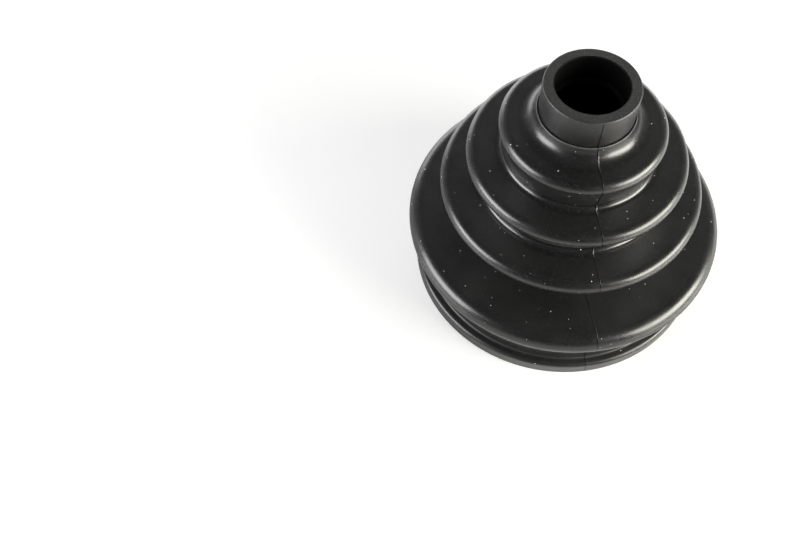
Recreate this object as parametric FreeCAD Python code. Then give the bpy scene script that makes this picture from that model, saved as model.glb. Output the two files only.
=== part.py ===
import FreeCAD, Part
import math
import os
from collections import namedtuple

# The boot is one moulded piece of rubber, a thin shell turned about the Z axis.
# It stands on its wide end, so the base lies at z = 0 and the narrow neck is at the top.
# All sizes are millimetres. A radius is measured from the axis and a height from the base.

# Driving sizes of the neck
BORE_RADIUS = 11.0
NECK_RADIUS = 14.5
NECK_LENGTH = 10.6
RIM_OUTER_ROUND = 0.5
RIM_INNER_ROUND = 0.35

# Driving sizes of the crease at the neck's foot, a hair-wide gap with a fine bead beyond it
CREASE_WIDTH = 0.18
CREASE_UNDERCUT = 0.1
CREASE_BELOW_FOOT = 0.18
BEAD_OUTSET = 0.42
BEAD_ROUND = 0.22
BEAD_BELOW_FOOT = 0.06
NECK_EDGE_ROUND = 0.15
NECK_EDGE_ABOVE_BEAD = 0.15

# Driving sizes of the sealing lip, which grips the shaft at the inner end of the bore
LIP_STANDOUT = 1.0
LIP_ROUND = 0.9
LIP_BELOW_RIM = 10.1
LIP_ROOT_ROUND = 0.5

# Driving sizes of the round hollow that leads from the foot of the neck to the first flank
SHOULDER_ROUND = 4.5
SHOULDER_OUTSET = 0.75
NECK_FOOT_ABOVE_RIDGE_1 = 7.5

# Driving sizes of the four ridges, counted from the neck to the wide end
# Each ridge is placed from the next wider one, and the widest from the collar
RIDGE_1_INSET = 9.4
RIDGE_2_INSET = 7.9
RIDGE_3_INSET = 10.6
RIDGE_4_STANDOUT = 5.8
RIDGE_1_RISE = 13.4
RIDGE_2_RISE = 14.6
RIDGE_3_RISE = 20.1
RIDGE_4_ABOVE_SEAT = 0.9
RIDGE_ROUND = 2.9
LAST_RIDGE_ROUND = 4.5

# Driving sizes of the three valleys, whose bottoms lie this far inward of the ridge above
# The flank from a valley to the next ridge is level, and the wall above a valley leans inward
VALLEY_ROUND = 1.8
VALLEY_2_INSET = 2.0
VALLEY_3_INSET = 5.2
VALLEY_4_INSET = 12.0

# Driving sizes of the collar at the wide end, with a seat for a band round it
SEAT_RADIUS = 48.0
SEAT_WIDTH = 10.8
SEAT_TOP_ROUND = 1.2
SEAT_FOOT_ROUND = 0.8
FLANGE_STANDOUT = 3.2
FLANGE_HEIGHT = 5.4
FLANGE_EDGE_ROUND = 1.4
BASE_EDGE_ROUND = 0.5

# Driving sizes of the rubber's wall and of the inside of the collar
BELLOWS_WALL = 1.4
COLLAR_WALL = 3.0
COLLAR_BORE_BELOW_RIDGE = 7.4
COLLAR_BORE_TOP_ROUND = 2.5
COLLAR_BORE_EDGE_ROUND = 0.5

# Driving sizes of the fine ridge that the two halves of the mould leave down both sides
# It is trimmed lower on the neck, where a band is drawn tight over it
SEAM_ANGLE = 5.2
SEAM_WIDTH = 0.36
SEAM_STANDOUT = 0.16
SEAM_NECK_STANDOUT = 0.08
SEAM_ROOT = 0.5
SEAM_FOOT_HEIGHT = 0.9

# Radii that follow from the driving sizes
ridge_4_radius = SEAT_RADIUS + RIDGE_4_STANDOUT
ridge_3_radius = ridge_4_radius - RIDGE_3_INSET
ridge_2_radius = ridge_3_radius - RIDGE_2_INSET
ridge_1_radius = ridge_2_radius - RIDGE_1_INSET
flange_radius = SEAT_RADIUS + FLANGE_STANDOUT
collar_bore_radius = SEAT_RADIUS - COLLAR_WALL

# Heights that follow from the driving sizes
seat_top_height = FLANGE_HEIGHT + SEAT_WIDTH
ridge_4_height = seat_top_height + SEAT_TOP_ROUND + RIDGE_4_ABOVE_SEAT + LAST_RIDGE_ROUND
ridge_3_height = ridge_4_height + RIDGE_3_RISE
ridge_2_height = ridge_3_height + RIDGE_2_RISE
ridge_1_height = ridge_2_height + RIDGE_1_RISE
neck_foot_height = ridge_1_height + NECK_FOOT_ABOVE_RIDGE_1
rim_height = neck_foot_height + NECK_LENGTH
lip_height = rim_height - LIP_BELOW_RIM

# The section is a list of rounds that a taut line runs past, from the neck to the base.
# A positive bend is a hollow, where the line turns toward the outside of the boot.
# A negative bend is a ridge, and a bend of zero is a sharp corner.
Round = namedtuple("Round", "radius height bend")


def ridge(outermost, height, bend):
    """A ridge given by its outermost radius."""
    return Round(outermost - bend, height, -bend)


def hollow(innermost, ridge_below, bend):
    """A hollow given by its innermost radius, whose bottom is level with the top of the ridge below it."""
    return Round(innermost + bend, ridge_below.height - ridge_below.bend + bend, bend)


def thinned(here, wall):
    """The same round on the inside of a wall of this thickness."""
    return Round(here.radius, here.height, here.bend + wall)


def heading_between(first, second):
    """Direction of the straight line that touches two rounds in turn."""
    outward = second.radius - first.radius
    upward = second.height - first.height
    reach = (first.bend - second.bend) / math.hypot(outward, upward)
    return math.atan2(upward, outward) + math.asin(max(-1.0, min(1.0, reach)))


def turn_at(before, here, after):
    """Angle through which the taut line turns as it passes a round."""
    turn = heading_between(here, after) - heading_between(before, here)
    return (turn + math.pi) % (2 * math.pi) - math.pi


def touched(rounds):
    """The rounds without those that the taut line passes and doesn't touch."""
    kept = list(rounds)
    index = 1
    while index < len(kept) - 1:
        here = kept[index]
        turn = turn_at(kept[index - 1], here, kept[index + 1])
        if turn * here.bend < 0:
            kept.pop(index)
            index = max(1, index - 1)
        else:
            index += 1
    return kept


def point_on(here, heading):
    """Point where a line with this direction touches the round."""
    radius = here.radius + here.bend * math.sin(heading)
    height = here.height - here.bend * math.cos(heading)
    return FreeCAD.Vector(radius, 0, height)


def outline(rounds):
    """Points and edges of the taut line, whose first and last rounds are sharp corners."""
    kept = touched(rounds)
    last = point_on(kept[0], 0)
    points = [last]
    edges = []
    for before, here, after in zip(kept, kept[1:], kept[2:] + [None]):
        arriving = heading_between(before, here)
        arrival = point_on(here, arriving)
        edges.append(Part.LineSegment(last, arrival).toShape())
        last = arrival
        if here.bend:
            turn = turn_at(before, here, after)
            middle = point_on(here, arriving + turn / 2)
            last = point_on(here, arriving + turn)
            edges.append(Part.Arc(arrival, middle, last).toShape())
    points.append(last)
    return points, edges


def section(outer, inner):
    """Flat face in the XZ plane between two outlines that both run from the neck to the base."""
    outer_points, outer_edges = outline(outer)
    inner_points, inner_edges = outline(inner)
    edges = outer_edges + inner_edges
    for one, other in zip(outer_points, inner_points):
        if one.distanceToPoint(other) > 1e-6:
            edges.append(Part.LineSegment(one, other).toShape())
    return Part.Face(Part.Wire(Part.sortEdges(edges)[0]))


# Rounds of the bellows, named from the neck to the wide end
ridge_1 = ridge(ridge_1_radius, ridge_1_height, RIDGE_ROUND)
ridge_2 = ridge(ridge_2_radius, ridge_2_height, RIDGE_ROUND)
ridge_3 = ridge(ridge_3_radius, ridge_3_height, RIDGE_ROUND)
ridge_4 = ridge(ridge_4_radius, ridge_4_height, LAST_RIDGE_ROUND)
shoulder = hollow(NECK_RADIUS + SHOULDER_OUTSET, ridge_1, SHOULDER_ROUND)
valley_2 = hollow(ridge_1_radius - VALLEY_2_INSET, ridge_2, VALLEY_ROUND)
valley_3 = hollow(ridge_2_radius - VALLEY_3_INSET, ridge_3, VALLEY_ROUND)
valley_4 = hollow(ridge_3_radius - VALLEY_4_INSET, ridge_4, VALLEY_ROUND)

# Rounds of the neck's rim, and of the crease and the fine bead where the neck meets the shoulder
# The neck's straight wall ends above the bead, so that nothing stands beside the band seat
rim_edge = Round(NECK_RADIUS - RIM_OUTER_ROUND, rim_height - RIM_OUTER_ROUND, -RIM_OUTER_ROUND)
bead = Round(NECK_RADIUS + BEAD_OUTSET, neck_foot_height - BEAD_BELOW_FOOT, -BEAD_ROUND)
neck_edge_height = bead.height + BEAD_ROUND + NECK_EDGE_ABOVE_BEAD
neck_edge = Round(NECK_RADIUS - NECK_EDGE_ROUND, neck_edge_height, -NECK_EDGE_ROUND)
crease_radius = NECK_RADIUS - CREASE_UNDERCUT + CREASE_WIDTH / 2
crease = Round(crease_radius, neck_foot_height - CREASE_BELOW_FOOT, CREASE_WIDTH / 2)

# Rounds of the collar's outside
seat_top = Round(SEAT_RADIUS + SEAT_TOP_ROUND, seat_top_height, SEAT_TOP_ROUND)
seat_foot = Round(SEAT_RADIUS + SEAT_FOOT_ROUND, FLANGE_HEIGHT + SEAT_FOOT_ROUND, SEAT_FOOT_ROUND)
flange_edge = Round(flange_radius - FLANGE_EDGE_ROUND, FLANGE_HEIGHT - FLANGE_EDGE_ROUND, -FLANGE_EDGE_ROUND)
base_edge = Round(flange_radius - BASE_EDGE_ROUND, BASE_EDGE_ROUND, -BASE_EDGE_ROUND)

# Rounds of the inside that have no match on the outside
rim_bore_edge = Round(BORE_RADIUS + RIM_INNER_ROUND, rim_height - RIM_INNER_ROUND, RIM_INNER_ROUND)
lip_root = Round(BORE_RADIUS - LIP_ROOT_ROUND, lip_height + LIP_ROUND + LIP_ROOT_ROUND, -LIP_ROOT_ROUND)
lip = Round(BORE_RADIUS - LIP_STANDOUT + LIP_ROUND, lip_height, LIP_ROUND)
collar_bore_top_height = ridge_4_height - COLLAR_BORE_BELOW_RIDGE
collar_bore_top = Round(
    collar_bore_radius + COLLAR_BORE_TOP_ROUND, collar_bore_top_height, COLLAR_BORE_TOP_ROUND
)
collar_bore_edge = Round(
    collar_bore_radius + COLLAR_BORE_EDGE_ROUND, COLLAR_BORE_EDGE_ROUND, COLLAR_BORE_EDGE_ROUND
)

# The outside, and an inside that follows the folds at the thickness of the wall
neck = [rim_edge, neck_edge, crease, bead]
folds = [shoulder, ridge_1, valley_2, ridge_2, valley_3, ridge_3, valley_4, ridge_4]
collar = [seat_top, seat_foot, flange_edge]
outside = neck + folds + collar + [base_edge]
bellows_inside = [thinned(here, BELLOWS_WALL) for here in folds]
inside = [rim_bore_edge, lip_root, lip] + bellows_inside + [collar_bore_top, collar_bore_edge]

# The shell, turned once about the axis
rim_middle = Round((BORE_RADIUS + NECK_RADIUS) / 2, rim_height, 0)
base_middle = Round((collar_bore_radius + flange_radius) / 2, 0, 0)
shell_face = section([rim_middle] + outside + [base_middle], [rim_middle] + inside + [base_middle])
shell = shell_face.revolve(FreeCAD.Vector(0, 0, 0), FreeCAD.Vector(0, 0, 1), 360)


def seam_line(raised, raised_on_neck):
    """Line that follows the outside at these distances, from the rim's edge to just above the base."""
    rim = Round(NECK_RADIUS + raised_on_neck, rim_height - RIM_OUTER_ROUND, 0)
    neck_foot = Round(NECK_RADIUS + raised_on_neck, neck_foot_height + raised, 0)
    base = Round(flange_radius + raised, SEAM_FOOT_HEIGHT, 0)
    followed = [thinned(here, -raised) for here in folds + collar]
    return [rim, neck_foot] + followed + [base]


def seam_plate(angle):
    """Thin plate rooted in the wall, turned to this angle about the axis."""
    crest_line = seam_line(SEAM_STANDOUT, SEAM_NECK_STANDOUT)
    root_line = seam_line(-SEAM_ROOT, -SEAM_ROOT)
    plate_face = section(crest_line, root_line)
    plate_face.translate(FreeCAD.Vector(0, -SEAM_WIDTH / 2, 0))
    plate = plate_face.extrude(FreeCAD.Vector(0, SEAM_WIDTH, 0))
    plate.rotate(FreeCAD.Vector(0, 0, 0), FreeCAD.Vector(0, 0, 1), angle)
    return plate


# The seam runs down the front, a little to the right of it, and down the opposite side
front = -90
boot = shell.fuse([seam_plate(front + SEAM_ANGLE), seam_plate(front + SEAM_ANGLE + 180)])

os.makedirs("parts", exist_ok=True)
boot.exportStep("parts/boot.step")
print("boot: solids", len(boot.Solids), "valid", boot.isValid(), "volume cm3", round(boot.Volume / 1000, 2))
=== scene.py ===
# %% [markdown]
# # A rubber bellows boot
# This lesson dresses one moulded piece of black rubber: a boot whose folds let a shaft bend while they keep
# its grease in. The shape comes from the CAD part. Here it is built again as a finer skin, so that it can
# carry what a mould and some handling leave on rubber: a parting line, slightly uneven walls, a fine grain
# and a little white dust. Everything is in metres, with the boot standing on its wide end at the origin.

# %% Open the frame
import math
from collections import namedtuple
import bpy
import numpy as np
from mathutils import Matrix, Vector, noise


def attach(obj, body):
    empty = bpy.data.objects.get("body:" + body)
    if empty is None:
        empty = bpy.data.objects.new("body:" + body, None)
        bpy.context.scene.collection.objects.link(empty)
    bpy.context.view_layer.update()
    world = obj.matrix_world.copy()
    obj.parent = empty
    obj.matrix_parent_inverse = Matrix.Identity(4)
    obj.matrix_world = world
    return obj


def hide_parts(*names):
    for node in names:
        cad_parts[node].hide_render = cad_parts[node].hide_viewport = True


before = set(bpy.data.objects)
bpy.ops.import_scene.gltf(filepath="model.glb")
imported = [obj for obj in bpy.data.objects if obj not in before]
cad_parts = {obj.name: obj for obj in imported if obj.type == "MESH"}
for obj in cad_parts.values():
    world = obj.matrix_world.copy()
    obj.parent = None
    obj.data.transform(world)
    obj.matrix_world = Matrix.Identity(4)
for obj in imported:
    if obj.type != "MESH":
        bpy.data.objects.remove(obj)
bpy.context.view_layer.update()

# %% [markdown]
# ## The section as a taut line past rounds
# The boot is turned about its axis, so half of its section gives the whole shape. A spline through guessed
# points would wobble at the tight rounds. A mould maker thinks in rounds instead: a cutter of a known radius
# at a known place, with straight runs that touch one round and the next. So the section is a list of rounds
# in millimetres. A positive bend is a hollow, a negative one is a ridge, and zero is a plain point. The
# bottom of each hollow lies level with the top of the next ridge, so that the flank between is level too.

# %% Rounds, ridges and hollows
MM = 0.001
Round = namedtuple("Round", "radius height bend")


def ridge(outermost, height, bend):
    """A ridge given by its outermost radius."""
    return Round(outermost - bend, height, -bend)


def hollow(innermost, ridge_below, bend):
    """A hollow given by its innermost radius, level at its bottom with the top of the ridge below it."""
    return Round(innermost + bend, ridge_below.height - ridge_below.bend + bend, bend)


def heading_between(first, second):
    """Direction of the straight run that touches two rounds in turn."""
    outward = second.radius - first.radius
    upward = second.height - first.height
    reach = (first.bend - second.bend) / math.hypot(outward, upward)
    return math.atan2(upward, outward) + math.asin(max(-1.0, min(1.0, reach)))


# %% [markdown]
# The outside runs from the flat rim of the neck down over four ridges to the base. Below the neck is a
# crease with a fine bead, which the join between two parts of the mould leaves. A wide hollow leads from
# there to the first flank. Below each of the upper three ridges the wall leans inward to a tight hollow.

# %% Outside of the boot
NECK_RADIUS = 14.5
RIM_HEIGHT = 89.0
RIM_MIDDLE = 12.75
NECK_FOOT = 78.4
BEAD_BEND = -0.22
SEAT_RADIUS = 48.0
FLANGE_RADIUS = 51.2
FLANGE_HEIGHT = 5.4
BASE_MIDDLE = 48.1

neck = [
    Round(RIM_MIDDLE, RIM_HEIGHT, 0),
    Round(NECK_RADIUS - 0.5, RIM_HEIGHT - 0.5, -0.5),
    Round(NECK_RADIUS - 0.15, NECK_FOOT + 0.31, -0.15),
    Round(NECK_RADIUS - 0.01, NECK_FOOT - 0.18, 0.09),
    Round(NECK_RADIUS + 0.42, NECK_FOOT - 0.06, BEAD_BEND),
]
ridges = [ridge(25.9, 70.9, 2.9), ridge(35.3, 57.5, 2.9), ridge(43.2, 42.9, 2.9), ridge(53.8, 22.8, 4.5)]
shoulder = hollow(15.25, ridges[0], 4.5)
valleys = [hollow(23.9, ridges[1], 1.8), hollow(30.1, ridges[2], 1.8), hollow(31.2, ridges[3], 1.8)]
folds = [shoulder, ridges[0]]
for valley, next_ridge in zip(valleys, ridges[1:]):
    folds += [valley, next_ridge]
collar = [
    Round(SEAT_RADIUS + 1.2, 16.2, 1.2),
    Round(SEAT_RADIUS + 0.8, FLANGE_HEIGHT + 0.8, 0.8),
    Round(FLANGE_RADIUS - 1.4, FLANGE_HEIGHT - 1.4, -1.4),
    Round(FLANGE_RADIUS - 0.5, 0.5, -0.5),
    Round(BASE_MIDDLE, 0, 0),
]
outside = neck + folds + collar
print("rounds outside:", len(outside))

# %% [markdown]
# The inside follows the folds at the thickness of the rubber. Each inner round has the same middle as its
# outer one, with the wall added to its bend. The neck has a straight bore with a lip that grips the shaft,
# and the collar has a wide bore.

# %% Inside of the boot
WALL = 1.4
BORE_RADIUS = 11.0
COLLAR_BORE = 45.0

bore = [
    Round(RIM_MIDDLE, RIM_HEIGHT, 0),
    Round(BORE_RADIUS + 0.35, RIM_HEIGHT - 0.35, 0.35),
    Round(BORE_RADIUS - 0.5, 80.3, -0.5),
    Round(BORE_RADIUS - 0.1, 78.9, 0.9),
]
inner_folds = [Round(here.radius, here.height, here.bend + WALL) for here in folds]
inner_collar = [
    Round(COLLAR_BORE + 2.5, 15.4, 2.5),
    Round(COLLAR_BORE + 0.5, 0.5, 0.5),
    Round(BASE_MIDDLE, 0, 0),
]
inside = bore + inner_folds + inner_collar
print("rounds inside:", len(inside))

# %% [markdown]
# ## Walking the line
# The skin needs rows of points along the section. A bevelled curve or a Screw modifier would space them
# evenly, which is too coarse on a crest of one millimetre and wasteful on a flank. This walk puts points
# close together where the line bends, and one point just inside each end of a straight run, so that the
# smooth shading of a bend doesn't leak into the flat next to it.

# %% Points along a line
Place = namedtuple("Place", "radius height heading bend")


def place_on(here, heading):
    """Where the line touches a round when it runs in this direction."""
    radius = here.radius + here.bend * math.sin(heading)
    return Place(radius, here.height - here.bend * math.cos(heading), heading, here.bend)


def straight_run(start, end, spacing):
    """Points between two ends, with one close to each end."""
    length = math.hypot(end.radius - start.radius, end.height - start.height)
    tuck = 0.12
    shares = [tuck / length, 1 - tuck / length] if length > 3 * tuck else []
    count = int(length // spacing)
    shares = sorted(shares + [(i + 1) / (count + 1) for i in range(count)])
    across = end.radius - start.radius
    down = end.height - start.height
    return [Place(start.radius + across * t, start.height + down * t, end.heading, 0.0) for t in shares]


def walk(rounds, spacing, arc_length, least_turn):
    """Places along the taut line, from the first round to the last."""
    first_heading = heading_between(rounds[0], rounds[1])
    places = [place_on(rounds[0], first_heading)]
    for before, here, after in zip(rounds, rounds[1:], rounds[2:] + [None]):
        arriving = heading_between(before, here)
        arrival = place_on(here, arriving)
        places += straight_run(places[-1], arrival, spacing) + [arrival]
        if after and here.bend:
            leaving = heading_between(here, after)
            turn = (leaving - arriving + math.pi) % (2 * math.pi) - math.pi
            piece = max(least_turn, min(math.radians(20), arc_length / abs(here.bend)))
            count = max(2, math.ceil(abs(turn) / piece))
            places += [place_on(here, arriving + turn * (i + 1) / count) for i in range(count)]
    return places


outer_places = walk(outside, spacing=1.3, arc_length=0.3, least_turn=math.radians(5))
inner_places = walk(inside, spacing=2.6, arc_length=0.6, least_turn=math.radians(9))
print("places outside and inside:", len(outer_places), len(inner_places))

# %% [markdown]
# Both walks join into one closed loop, down the outside and back up the inside. For each place the loop
# keeps the direction that points out of the rubber, because the later details push along it, and the bend of
# the round that it lies on, because the rubber looks different on a ridge and in a hollow.

# %% One closed loop
loop = outer_places + inner_places[-2:0:-1]
is_outside = np.array([1.0] * len(outer_places) + [0.0] * (len(inner_places) - 2))
radius = np.array([place.radius for place in loop])
height = np.array([place.height for place in loop])
heading = np.array([place.heading for place in loop])
facing = np.where(is_outside > 0, 1.0, -1.0)
out_radius = -np.sin(heading) * facing
out_height = np.cos(heading) * facing
stride = np.hypot(np.diff(radius, prepend=radius[0]), np.diff(height, prepend=height[0]))
along = np.cumsum(stride)
bend = np.array([place.bend for place in loop])
print("length of the outside line in mm:", round(float(along[len(outer_places) - 1]), 1))

# %% [markdown]
# A mould wears unevenly, so the rubber's gloss differs from place to place: the tight valleys are the
# glossiest, then the ridges, while the flat flanks keep a coarser grain. Masks along the line mark these
# places, with soft ends, for the seam and the material to use. The bend tells them apart: more than 1 mm is
# a hollow, from 1 to 3 mm a tight valley, and less than -2 mm a ridge.

# %% Ridges and hollows as masks
def softened(mask, reach):
    """A mask blended along the line over this many millimetres."""
    apart = (along[:, None] - along[None, :]) / reach
    weight = np.exp(-apart * apart) * (stride[None, :] + 1e-6)
    return (weight @ mask) / weight.sum(axis=1)


in_hollow = softened(is_outside * (bend > 1), 0.5)
in_valley = softened(is_outside * (bend > 1) * (bend < 3), 0.5)
on_ridge = softened(is_outside * (bend < -2), 0.9)
on_bead = softened(is_outside * (bend == BEAD_BEND), 0.12)
print("share of the line in hollows and on ridges:", round(in_hollow.mean(), 2), round(on_ridge.mean(), 2))

# %% [markdown]
# ## The parting line
# Rubber is moulded between two halves, and a trace of their joint stays down the front and the back: a fine
# dark crease and, beside it in the hollows, a hair of rubber. A bump texture would vanish in profile and in
# the export, so it is real geometry. Evenly spaced columns of points would miss something 0.3 mm wide, so
# each seam gets fourteen columns of its own at set distances in millimetres, and the rest are spread evenly
# between. Six of the fourteen lie beside an edge, to keep the smooth shading from spreading past it.

# %% Columns of the skin
SEAM_ANGLE = 5.2
seam_angles = [math.radians(-90 + SEAM_ANGLE), math.radians(90 + SEAM_ANGLE)]
FAR_FROM_SEAM = 9.0
crease_edges = [-0.405, -0.37, -0.08, -0.045]
hair_edges = [0.02, 0.08, 0.15, 0.22]
beside_edges = [-0.46, -0.41, -0.36, -0.09, -0.04, 0.30]
seam_offsets = sorted(crease_edges + hair_edges + beside_edges)
plain_angles = np.radians(np.linspace(2.7, 177.3, 86))
columns_per_seam = len(seam_offsets) + len(plain_angles)

columns = []
offsets = []
for seam in seam_angles:
    for offset in seam_offsets:
        columns.append(seam + offset / radius)
        offsets.append(offset)
    for angle in plain_angles:
        columns.append(np.full(len(loop), seam + angle))
        offsets.append(FAR_FROM_SEAM)
angle = np.stack(columns, axis=1)
offsets = np.array(offsets)
print("rows and columns:", angle.shape, "triangles:", 2 * angle.size)

# %% [markdown]
# The crease runs all the way from the neck to the base. The hair of rubber is wiped off where a cloth
# reaches, so it stands in the hollows, where it catches the light, and small crumbs are left elsewhere. The
# hair's height along the line is a steady value, a slow change and some crumbs. A profile across the seam
# turns that into a hair, and a second one gives the crease.

# %% How far the seam stands out
HAIR_HEIGHT = 0.08
HAIR_CHANGE = 0.04
HIGHEST_HAIR = 0.14
CRUMBS = 30
CREASE_DEPTH = 0.28

hair_shape = np.interp(offsets, hair_edges, [0.0, 1.0, 0.8, 0.0])
crease_shape = np.interp(offsets, crease_edges, [0.0, 1.0, 1.0, 0.0])

random = np.random.default_rng(52)


def hair_height(which):
    """Height of the hair of rubber in mm at each place along the loop."""
    slow = np.array([noise.noise(Vector((s * 0.33, which * 7.1, 0.3))) for s in along])
    hair = (HAIR_HEIGHT + HAIR_CHANGE * slow) * in_hollow
    crumbs = random.uniform(1, along[len(outer_places) - 1], CRUMBS)
    for crumb in crumbs:
        size = random.uniform(0.02, 0.05)
        hair = hair + size * np.exp(-(((along - crumb) / random.uniform(0.12, 0.25)) ** 2))
    return np.clip(hair, 0.0, HIGHEST_HAIR)


above_base = np.clip((height - 0.1) / 0.3, 0, 1)
below_rim = np.clip((RIM_HEIGHT - 0.4 - height) / 0.1, 0, 1)
seam_reach = is_outside * above_base * below_rim
seam_relief = np.zeros(angle.shape)
for which in range(len(seam_angles)):
    own = slice(which * columns_per_seam, (which + 1) * columns_per_seam)
    hair = hair_height(which)[:, None] * hair_shape[own]
    seam_relief[:, own] = hair - CREASE_DEPTH * crease_shape[own]
seam_relief = seam_relief * seam_reach[:, None]
print("the hair stands out at most, in mm:", round(float(seam_relief.max()), 3))

# %% [markdown]
# ## Uneven rubber
# A turned shape is too perfect: its highlights run round like rings on a machined part. Rubber cools and
# relaxes a little unevenly, so soft noise moves the skin by a few hundredths of a millimetre. The most that
# the noise can reach is taken off it, so it always moves inward and the boot stays within its CAD size. It
# fades out at the base, which lies flat.

# %% Skin of the boot
SWELL = 0.028
FINE_SHARE = 0.4
around = np.cos(angle), np.sin(angle)
spot_x = radius[:, None] * around[0]
spot_y = radius[:, None] * around[1]
spot_z = np.broadcast_to(height[:, None], angle.shape)
spots = np.stack([spot_x, spot_y, spot_z], axis=-1).reshape(-1, 3)
wide_change = np.array([noise.noise(Vector(spot) * 0.07) for spot in spots.tolist()])
fine_change = np.array([noise.noise(Vector(spot) * 0.21) for spot in spots.tolist()])
change = (wide_change + FINE_SHARE * fine_change).reshape(angle.shape)
swell = (change - (1 + FINE_SHARE)) * SWELL
swell = swell * np.clip(height / 2.5, 0, 1)[:, None]
relief = seam_relief + swell

skin_radius = radius[:, None] + out_radius[:, None] * relief
skin_height = height[:, None] + out_height[:, None] * relief
skin = np.stack([skin_radius * around[0], skin_radius * around[1], skin_height], axis=-1) * MM
print("swell in mm:", round(float(swell.min()), 3), round(float(swell.max()), 3))

# %% [markdown]
# The rows and columns wrap both ways, like the surface of a ring, so one loop of quads closes the whole
# skin with no cap and no open edge. It replaces the CAD solid in the picture and rides on the same body. The
# masks are stored with its points. One of them marks what stands out finely, the bead and the seam's hair,
# which is painted pale: a painted highlight along these fine edges, and partly scuffing.

# %% Mesh of the boot
rows, cols = angle.shape
number = np.arange(rows * cols).reshape(rows, cols)
right = np.roll(number, -1, axis=1)
below = np.roll(number, -1, axis=0)
below_right = np.roll(below, -1, axis=1)
quads = np.stack([number, below, below_right, right], axis=-1).reshape(-1, 4)

boot_mesh = bpy.data.meshes.new("boot_skin")
boot_mesh.from_pydata(skin.reshape(-1, 3).tolist(), [], quads.tolist())
boot_mesh.polygons.foreach_set("use_smooth", [True] * len(quads))
# painted highlight and scuffing: the bead and the seam's hair are marked to be painted pale
painted_highlight_and_wear = np.maximum(on_bead[:, None], 0.8 * in_hollow[:, None] * hair_shape[None, :])
masks = {
    "crease": crease_shape[None, :] * seam_reach[:, None],
    "hollow": in_hollow[:, None],
    "valley": in_valley[:, None],
    "ridge": on_ridge[:, None],
    "painted_highlight_and_wear": painted_highlight_and_wear,
}
for name, mask in masks.items():
    store = boot_mesh.attributes.new(name, "FLOAT", "POINT")
    store.data.foreach_set("value", np.broadcast_to(mask, angle.shape).reshape(-1).astype(np.float32))
boot_mesh.update()
boot_skin = bpy.data.objects.new("boot_skin", boot_mesh)
bpy.context.scene.collection.objects.link(boot_skin)
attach(boot_skin, "root")
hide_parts("boot")
print("points:", len(boot_mesh.vertices), "quads:", len(boot_mesh.polygons))

# %% [markdown]
# ## Small tools for materials
# A material is a graph of nodes. These helpers add a node, set its values and join sockets, so that each
# effect below reads as a short recipe. An effect is a node group with named inputs and outputs, and the
# material that uses it gives it its own sizes.

# %% Node helpers
def add_node(tree, kind, **values):
    """A node of this kind, with its properties set."""
    node = tree.nodes.new(kind)
    for name, value in values.items():
        setattr(node, name, value)
    return node


def join(tree, source, target):
    """A link, or a plain value where the source is a number or a colour."""
    if isinstance(source, bpy.types.NodeSocket):
        tree.links.new(source, target)
    else:
        target.default_value = source


def maths(tree, operation, first, second=0.0, third=0.0):
    """One Math node, and the socket with its result."""
    node = add_node(tree, "ShaderNodeMath", operation=operation)
    for value, socket in zip((first, second, third), node.inputs):
        join(tree, value, socket)
    return node.outputs[0]


def ramp(tree, value, low, high, to_low=0.0, to_high=1.0, smooth=True):
    """A value carried from one range to another."""
    node = add_node(tree, "ShaderNodeMapRange", clamp=True)
    node.interpolation_type = "SMOOTHSTEP" if smooth else "LINEAR"
    names = ("Value", "From Min", "From Max", "To Min", "To Max")
    for name, given in zip(names, (value, low, high, to_low, to_high)):
        join(tree, given, node.inputs[name])
    return node.outputs[0]


def blend_colours(tree, share, first, second):
    """A mix of two colours."""
    node = add_node(tree, "ShaderNodeMix", data_type="RGBA")
    join(tree, share, node.inputs[0])
    join(tree, first, node.inputs[6])
    join(tree, second, node.inputs[7])
    return node.outputs[2]


def new_group(title, inputs, outputs):
    """An empty node group with its input and output sockets."""
    tree = bpy.data.node_groups.new(title, "ShaderNodeTree")
    for name, kind, value in inputs:
        socket = tree.interface.new_socket(name=name, in_out="INPUT", socket_type=kind)
        if value is not None:
            socket.default_value = value
    for name, kind in outputs:
        tree.interface.new_socket(name=name, in_out="OUTPUT", socket_type=kind)
    entry = tree.nodes.new("NodeGroupInput")
    leave = tree.nodes.new("NodeGroupOutput")
    return tree, entry.outputs, leave.inputs


def use_group(tree, group, **values):
    """A group placed in a material, with its inputs joined or set by name."""
    node = add_node(tree, "ShaderNodeGroup", node_tree=group)
    for name, value in values.items():
        join(tree, value, node.inputs[name.replace("_", " ")])
    return node.outputs


def noise_at(tree, vector, size_mm, detail=2.0, roughness=0.5):
    """Noise whose features are about this many millimetres wide."""
    node = add_node(tree, "ShaderNodeTexNoise")
    join(tree, vector, node.inputs["Vector"])
    if isinstance(size_mm, bpy.types.NodeSocket):
        join(tree, maths(tree, "DIVIDE", 1000.0, size_mm), node.inputs["Scale"])
    else:
        node.inputs["Scale"].default_value = 1000.0 / size_mm
    node.inputs["Detail"].default_value = detail
    node.inputs["Roughness"].default_value = roughness
    return node.outputs["Fac"]


# %% [markdown]
# ## Moulded grain
# The mould was blasted, so the rubber is satin and not glossy: fine pits break each highlight into tiny
# sparks. Two sizes of noise give the pits and a slow change that makes one patch a little duller than the
# next. The group gives a height for the bump and a shift for the roughness.

# %% Group: moulded grain
grain_group, taken, given = new_group(
    "moulded grain",
    [
        ("Vector", "NodeSocketVector", None),
        ("Pit size", "NodeSocketFloat", 0.4),
        ("Patch size", "NodeSocketFloat", 6.0),
    ],
    [("Height", "NodeSocketFloat"), ("Dullness", "NodeSocketFloat")],
)
pits = noise_at(grain_group, taken["Vector"], taken["Pit size"], detail=3.0, roughness=0.65)
patches = noise_at(grain_group, taken["Vector"], taken["Patch size"], detail=3.0)
join(grain_group, pits, given["Height"])
join(grain_group, maths(grain_group, "SUBTRACT", patches, 0.5), given["Dullness"])

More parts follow.
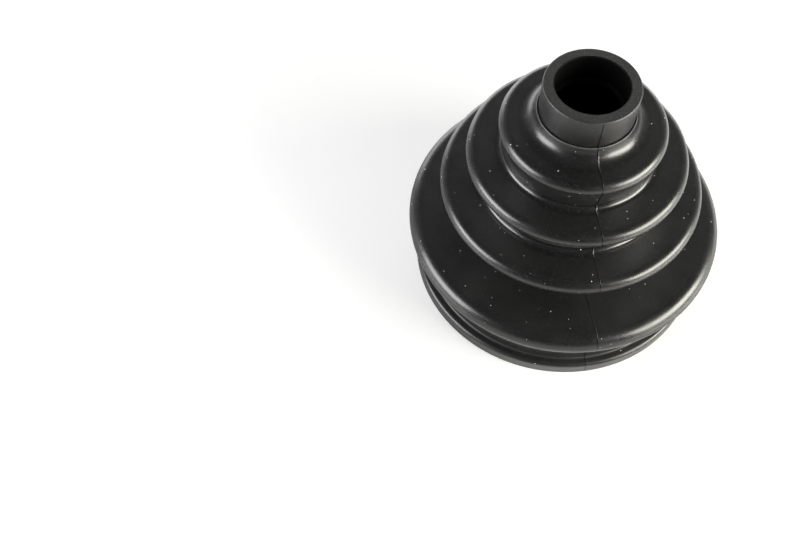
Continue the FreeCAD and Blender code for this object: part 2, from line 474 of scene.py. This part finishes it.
# %% [markdown]
# ## Turning marks
# The mould itself was cut on a lathe, and the finest rings of that cut print onto the rubber. They show as
# faint concentric lines on the flange and the band seat. Noise over the distance from the axis and the
# height gives rings of uneven strength, where a wave would give a regular pattern that looks drawn.

# %% Group: turning marks
rings_group, taken, given = new_group(
    "turning marks",
    [("Vector", "NodeSocketVector", None), ("Pitch", "NodeSocketFloat", 0.5)],
    [("Height", "NodeSocketFloat")],
)
parts = add_node(rings_group, "ShaderNodeSeparateXYZ")
join(rings_group, taken["Vector"], parts.inputs[0])
squared = maths(rings_group, "MULTIPLY", parts.outputs["X"], parts.outputs["X"])
squared = maths(rings_group, "MULTIPLY_ADD", parts.outputs["Y"], parts.outputs["Y"], squared)
from_axis = maths(rings_group, "SQRT", squared)
turned = add_node(rings_group, "ShaderNodeCombineXYZ")
join(rings_group, from_axis, turned.inputs["X"])
join(rings_group, parts.outputs["Z"], turned.inputs["Z"])
rings = noise_at(rings_group, turned.outputs[0], taken["Pitch"], detail=2.0, roughness=0.6)
join(rings_group, rings, given["Height"])

# %% [markdown]
# ## Dust
# Black rubber holds a little charge and catches white specks. Each cell of a Voronoi pattern holds one
# possible speck at its middle. Only a share of the cells is used, and only where a middle lies close to the
# skin, so the specks come out scattered and of different sizes. It is used twice, for specks and for powder.

# %% Group: dust specks
dust_group, taken, given = new_group(
    "dust specks",
    [
        ("Vector", "NodeSocketVector", None),
        ("Spacing", "NodeSocketFloat", 3.0),
        ("Speck size", "NodeSocketFloat", 0.2),
        ("Share", "NodeSocketFloat", 0.5),
    ],
    [("Mask", "NodeSocketFloat")],
)
cells = add_node(dust_group, "ShaderNodeTexVoronoi")
join(dust_group, taken["Vector"], cells.inputs["Vector"])
join(dust_group, maths(dust_group, "DIVIDE", 1000.0, taken["Spacing"]), cells.inputs["Scale"])
distance = maths(dust_group, "MULTIPLY", cells.outputs["Distance"], taken["Spacing"])
lot = add_node(dust_group, "ShaderNodeSeparateColor")
join(dust_group, cells.outputs["Color"], lot.inputs[0])
share_of_size = ramp(dust_group, lot.outputs[1], 0, 1, 0.3, 1, False)
speck = maths(dust_group, "MULTIPLY", taken["Speck size"], share_of_size)
edge = maths(dust_group, "MULTIPLY", speck, 0.6)
inside_speck = ramp(dust_group, distance, edge, speck, 1.0, 0.0)
chosen = maths(dust_group, "LESS_THAN", lot.outputs[0], taken["Share"])
join(dust_group, maths(dust_group, "MULTIPLY", inside_speck, chosen), given["Mask"])

# %% [markdown]
# ## Black rubber
# Carbon black makes the rubber nearly as dark as paint can be, so what the eye reads is its gloss and its
# surface. One colour and one gloss would look like plastic. The material is made in steps: first the
# patterns and masks that it uses, then its colour, its gloss and its relief.

# %% Black rubber: patterns and masks
rubber = bpy.data.materials.new("black_rubber")
rubber.use_nodes = True
tree = rubber.node_tree
shader = tree.nodes["Principled BSDF"]
coordinates = add_node(tree, "ShaderNodeTexCoord").outputs["Object"]

on_skin = {}
for name in masks:
    on_skin[name] = add_node(tree, "ShaderNodeAttribute", attribute_name=name).outputs["Fac"]
grain = use_group(tree, grain_group, Vector=coordinates, Pit_size=0.3, Patch_size=7.0)
marks = use_group(tree, rings_group, Vector=coordinates, Pitch=0.55)
specks = use_group(tree, dust_group, Vector=coordinates, Spacing=2.7, Speck_size=0.25, Share=0.62)["Mask"]
powder = use_group(tree, dust_group, Vector=coordinates, Spacing=0.9, Speck_size=0.15, Share=0.35)["Mask"]

place = add_node(tree, "ShaderNodeSeparateXYZ")
join(tree, coordinates, place.inputs[0])
height_here = place.outputs["Z"]
rim = ramp(tree, height_here, (RIM_HEIGHT - 0.6) * MM, (RIM_HEIGHT - 0.3) * MM)
above_flange = ramp(tree, height_here, (FLANGE_HEIGHT - 0.1) * MM, (FLANGE_HEIGHT + 0.1) * MM)
corner = ramp(tree, height_here, (FLANGE_HEIGHT + 2.2) * MM, (FLANGE_HEIGHT + 1.0) * MM)
corner = maths(tree, "MULTIPLY", corner, above_flange)
print("masks on the skin:", sorted(on_skin))

# %% [markdown]
# The colour starts from two blacks in a soft grey bloom, which is wax that comes out of the rubber with time.
# A fine mottling lies over it. The cut rim of the neck is paler. The bead and the seam's hair are painted
# pale, as a painted highlight along these fine edges and partly as scuffing.
# Dust comes last, except in the crease of the parting line, which is painted near black as painted shade.

# %% Black rubber: colour
bloom = ramp(tree, noise_at(tree, coordinates, 16.0, detail=4.0), 0.42, 0.72, 0.0, 1.0)
colour = blend_colours(tree, bloom, (0.008, 0.008, 0.0085, 1), (0.015, 0.015, 0.015, 1))
mottle = ramp(tree, noise_at(tree, coordinates, 0.7, detail=2.0), 0.5, 0.75)
colour = blend_colours(tree, mottle, colour, (0.022, 0.022, 0.022, 1))
colour = blend_colours(tree, maths(tree, "MULTIPLY", rim, 0.4), colour, (0.045, 0.045, 0.044, 1))
colour = blend_colours(tree, maths(tree, "MULTIPLY", rim, mottle), colour, (0.07, 0.07, 0.069, 1))
# painted highlight, partly scuffing: the bead and the seam's hair are painted pale
colour = blend_colours(tree, on_skin["painted_highlight_and_wear"], colour, (0.11, 0.11, 0.108, 1))
powdered = maths(tree, "MULTIPLY", powder, maths(tree, "MULTIPLY_ADD", rim, 0.5, 0.3))
colour = blend_colours(tree, powdered, colour, (0.42, 0.42, 0.41, 1))
colour = blend_colours(tree, specks, colour, (0.85, 0.85, 0.83, 1))
# painted shade: the crease of the parting line is painted near black
colour = blend_colours(tree, on_skin["crease"], colour, (0.002, 0.002, 0.002, 1))
join(tree, colour, shader.inputs["Base Color"])
print("nodes for the colour, with the patterns:", len(tree.nodes))

# %% [markdown]
# The gloss is uneven in patches. Ridges and hollows are smoother than the flanks, and the tight valleys are
# the smoothest. The rim, the corner above the flange, the specks and the crease are duller. The rubber
# reflects a little more than plain plastic, and fine dust gives it a faint sheen at grazing angles.

# %% Black rubber: gloss
dull = maths(tree, "MULTIPLY_ADD", grain["Dullness"], 0.2, 0.36)
dull = maths(tree, "MULTIPLY_ADD", on_skin["hollow"], -0.06, dull)
dull = maths(tree, "MULTIPLY_ADD", on_skin["valley"], -0.05, dull)
dull = maths(tree, "MULTIPLY_ADD", on_skin["ridge"], -0.07, dull)
dull = maths(tree, "MULTIPLY_ADD", rim, 0.1, dull)
dull = maths(tree, "MULTIPLY_ADD", corner, 0.12, dull)
dull = maths(tree, "MAXIMUM", dull, maths(tree, "MULTIPLY", specks, 0.9))
dull = maths(tree, "MAXIMUM", dull, maths(tree, "MULTIPLY", on_skin["crease"], 0.4))
join(tree, dull, shader.inputs["Roughness"])
shader.inputs["IOR"].default_value = 1.7
shader.inputs["Sheen Weight"].default_value = 0.025
shader.inputs["Sheen Roughness"].default_value = 0.4
print("index of refraction:", round(shader.inputs["IOR"].default_value, 2))

# %% [markdown]
# The pits, the turning marks and the specks all feed one bump, so that they share one height. The pits are
# strongest on the cut rim and on the ridges, and the turning marks show below the widest ridge.

# %% Black rubber: relief
pitting = maths(tree, "MULTIPLY_ADD", on_skin["ridge"], 0.25, 0.35)
pitting = maths(tree, "MULTIPLY_ADD", on_skin["valley"], -0.12, pitting)
pitting = maths(tree, "MULTIPLY_ADD", rim, 0.7, pitting)
relief_height = maths(tree, "MULTIPLY", grain["Height"], pitting)
turned = ramp(tree, height_here, 16 * MM, 22 * MM, 0.16, 0.02)
relief_height = maths(tree, "MULTIPLY_ADD", marks["Height"], turned, relief_height)
relief_height = maths(tree, "MULTIPLY_ADD", specks, 0.5, relief_height)
bump = add_node(tree, "ShaderNodeBump")
bump.inputs["Distance"].default_value = 0.03 * MM
join(tree, relief_height, bump.inputs["Height"])
join(tree, bump.outputs["Normal"], shader.inputs["Normal"])
boot_mesh.materials.append(rubber)
print("nodes in the rubber:", len(tree.nodes))

# %% [markdown]
# ## Inside of the boot
# The core that shapes the inside is greased before each shot, and the skin comes off it matt and clean, with
# no dust yet. Its colour is painted darker than the outside rubber, as painted shade in the bore, so that the
# hole looks black. It is a second material, because its gloss is lower everywhere and not only in places.

# %% Material: inside of the rubber
inner_rubber = bpy.data.materials.new("black_rubber_inside")
inner_rubber.use_nodes = True
tree = inner_rubber.node_tree
shader = tree.nodes["Principled BSDF"]
coordinates = add_node(tree, "ShaderNodeTexCoord").outputs["Object"]
grain = use_group(tree, grain_group, Vector=coordinates, Pit_size=0.3, Patch_size=9.0)
stain = ramp(tree, noise_at(tree, coordinates, 12.0, detail=3.0), 0.4, 0.7)
# painted shade: the inside is painted darker than the outside rubber
colour = blend_colours(tree, stain, (0.003, 0.003, 0.003, 1), (0.005, 0.005, 0.005, 1))
join(tree, colour, shader.inputs["Base Color"])
join(tree, maths(tree, "MULTIPLY_ADD", grain["Dullness"], 0.2, 0.5), shader.inputs["Roughness"])
shader.inputs["Specular IOR Level"].default_value = 0.12
bump = add_node(tree, "ShaderNodeBump")
bump.inputs["Distance"].default_value = 0.01 * MM
join(tree, grain["Height"], bump.inputs["Height"])
join(tree, bump.outputs["Normal"], shader.inputs["Normal"])
boot_mesh.materials.append(inner_rubber)

in_bore = (is_outside == 0) & (height < RIM_HEIGHT - 0.01)
face_inside = np.repeat(in_bore | np.roll(in_bore, -1), cols)
boot_mesh.polygons.foreach_set("material_index", face_inside.astype(np.int32))
print("faces inside:", int(face_inside.sum()), "of", len(face_inside))

# %% [markdown]
# ## Floor
# The boot stands on plain white paper. The paper is an ordinary white surface, so it takes the boot's
# shadow. For the camera a little light of its own lifts it to clean white, and more of it far out, where the
# lamps hardly reach. Turning the lamps up for that would wash out the rubber. In reflections the lift is
# strongest at the right and close to the front, where the ridges and the flange mirror a bright floor, and
# there is none beneath the boot.

# %% Floor
FLOOR_SIZE = 12.0
half = FLOOR_SIZE / 2
corners = [(-half, -half, 0), (half, -half, 0), (half, half, 0), (-half, half, 0)]
floor_mesh = bpy.data.meshes.new("floor")
floor_mesh.from_pydata(corners, [], [(0, 1, 2, 3)])
floor = bpy.data.objects.new("floor", floor_mesh)
bpy.context.scene.collection.objects.link(floor)

paper = bpy.data.materials.new("white_paper")
paper.use_nodes = True
tree = paper.node_tree
surface = tree.nodes["Principled BSDF"]
surface.inputs["Roughness"].default_value = 0.2
on_paper = add_node(tree, "ShaderNodeTexCoord").outputs["Object"]
fibres = noise_at(tree, on_paper, 2.0, detail=4.0)
tint = blend_colours(tree, ramp(tree, fibres, 0.3, 0.7), (0.80, 0.80, 0.80, 1), (0.82, 0.82, 0.82, 1))
join(tree, tint, surface.inputs["Base Color"])
print("floor in metres:", FLOOR_SIZE)

# %% [markdown]
# The paper's own light depends on how a ray comes to it. A ray straight from the camera finds a little near
# the boot, where the shadow must show, and all of it far out. A mirrored ray finds a level that depends on
# the side and on the distance from the boot's axis.

# %% Light of the paper
place = add_node(tree, "ShaderNodeSeparateXYZ")
join(tree, on_paper, place.inputs[0])
sideways = maths(tree, "MULTIPLY_ADD", place.outputs["Y"], 0.7, place.outputs["X"])
from_axis = add_node(tree, "ShaderNodeVectorMath", operation="LENGTH")
join(tree, on_paper, from_axis.inputs[0])
out_there = from_axis.outputs["Value"]
in_gloss = ramp(tree, sideways, -0.08, 0.12, 0.1, 1.0)
in_gloss = maths(tree, "MULTIPLY", in_gloss, ramp(tree, out_there, 0.07, 0.13))
near_front = ramp(tree, place.outputs["Y"], -0.02, -0.05)
near_front = maths(tree, "MULTIPLY", near_front, ramp(tree, out_there, 0.054, 0.057, 0.5, 0.0))
near_front = maths(tree, "MULTIPLY", near_front, ramp(tree, sideways, -0.07, -0.05))
in_gloss = maths(tree, "MAXIMUM", in_gloss, near_front)
seen = add_node(tree, "ShaderNodeLightPath").outputs
direct = maths(tree, "MAXIMUM", seen["Is Camera Ray"], seen["Is Transmission Ray"])
direct = maths(tree, "MULTIPLY", direct, ramp(tree, out_there, 0.2, 0.8, 0.38, 1.0))
direct = maths(tree, "MAXIMUM", direct, maths(tree, "MULTIPLY", seen["Is Glossy Ray"], in_gloss))
beyond_base = ramp(tree, out_there, (SEAT_RADIUS - 2) * MM, SEAT_RADIUS * MM)
lift = add_node(tree, "ShaderNodeEmission")
join(tree, maths(tree, "MULTIPLY", direct, beyond_base), lift.inputs["Strength"])
both = add_node(tree, "ShaderNodeAddShader")
join(tree, surface.outputs[0], both.inputs[0])
join(tree, lift.outputs[0], both.inputs[1])
join(tree, both.outputs[0], tree.nodes["Material Output"].inputs["Surface"])
floor_mesh.materials.append(paper)
print("nodes in the paper:", len(tree.nodes))

# %% [markdown]
# ## Room and lamps
# Gloss on black rubber is a picture of the room. The ridges carry a bright band at the left and at the
# right, while the front and everything that faces up stay dark. So there are two wide soft lamps, low at
# each side, and the right one is a touch warmer. A long low lamp behind makes the thin light line on the far
# edges. The room is white at the horizon, dark above and dimmer in front.

# %% Room
world = bpy.data.worlds.new("room")
bpy.context.scene.world = world
world.use_nodes = True
tree = world.node_tree
direction = add_node(tree, "ShaderNodeSeparateXYZ")
join(tree, add_node(tree, "ShaderNodeTexCoord").outputs["Generated"], direction.inputs[0])
up = direction.outputs["Z"]
sides = ramp(tree, direction.outputs["Y"], -0.8, 0.6, 0.075, 0.27)
walls = ramp(tree, up, 0.06, 0.16, 1.0, 0.0)
walls = maths(tree, "MULTIPLY", walls, ramp(tree, direction.outputs["Y"], -0.9, -0.1, 0.15, 1.0))
overhead = ramp(tree, up, 0.5, 0.9, 0.0, 1.0)
level = maths(tree, "ADD", sides, maths(tree, "MULTIPLY", walls, maths(tree, "SUBTRACT", 1.0, sides)))
level = maths(tree, "MULTIPLY", level, maths(tree, "SUBTRACT", 1.0, maths(tree, "MULTIPLY", overhead, 0.6)))
level = maths(tree, "MAXIMUM", level, add_node(tree, "ShaderNodeLightPath").outputs["Is Camera Ray"])
tone = add_node(tree, "ShaderNodeCombineColor")
for channel in range(3):
    join(tree, level, tone.inputs[channel])
join(tree, tone.outputs[0], tree.nodes["Background"].inputs["Color"])
print("nodes in the room:", len(tree.nodes))

# %% [markdown]
# A lamp is set by where it stands, how large its face is and how bright the face looks in a mirror, its
# radiance. The power follows from these, so a larger lamp isn't a dimmer one.

# %% Lamps
BOOT_MIDDLE = Vector((0, 0, 0.04))


def soft_lamp(name, azimuth, elevation, distance, width, depth, radiance, colour=(1, 1, 1)):
    """A rectangular lamp that faces the boot. Azimuth 0 is the front and 90 the right."""
    light = bpy.data.lights.new(name, "AREA")
    light.shape = "RECTANGLE"
    light.size = width
    light.size_y = depth
    light.energy = radiance * math.pi * width * depth
    light.color = colour
    lamp = bpy.data.objects.new(name, light)
    turn = math.radians(azimuth)
    rise = math.radians(elevation)
    toward = Vector((math.sin(turn) * math.cos(rise), -math.cos(turn) * math.cos(rise), math.sin(rise)))
    lamp.location = BOOT_MIDDLE + toward * distance
    lamp.rotation_mode = "QUATERNION"
    lamp.rotation_quaternion = toward.to_track_quat("Z", "Y")
    lamp.visible_camera = False
    bpy.context.scene.collection.objects.link(lamp)
    print(name, "watts", round(light.energy, 2))


soft_lamp("left_lamp", azimuth=-78, elevation=18, distance=0.45, width=0.31, depth=0.23, radiance=8.4)
warm_white = (1.0, 0.985, 0.88)
soft_lamp("right_lamp", 64, 19.5, 0.45, width=0.38, depth=0.21, radiance=13.0, colour=warm_white)
soft_lamp("back_lamp", azimuth=178, elevation=11, distance=0.75, width=1.3, depth=0.32, radiance=2.6)

# %% [markdown]
# ## Camera
# The camera stands in front and a little to the left, and looks down at about sixty degrees. Its place was
# worked out from the rings of the boot, whose true shapes are circles.

# %% Camera
CAMERA_PLACE = (-0.0578, -0.1724, 0.2825)
LOOKS_DOWN = 59.54
LEANS = -2.31

camera_data = bpy.data.cameras.new("camera")
camera_data.sensor_width = 36.0
camera_data.lens = 39.6
camera_data.clip_start = 0.01
camera = bpy.data.objects.new("camera", camera_data)
bpy.context.scene.collection.objects.link(camera)
tilt = Matrix.Rotation(math.radians(90 - LOOKS_DOWN), 4, "X")
roll = Matrix.Rotation(math.radians(LEANS), 4, "Z")
camera.matrix_world = Matrix.Translation(CAMERA_PLACE) @ tilt @ roll
bpy.context.scene.camera = camera
bpy.context.scene.view_settings.view_transform = "Standard"
print("camera stands at", [round(v, 3) for v in camera.matrix_world.translation])
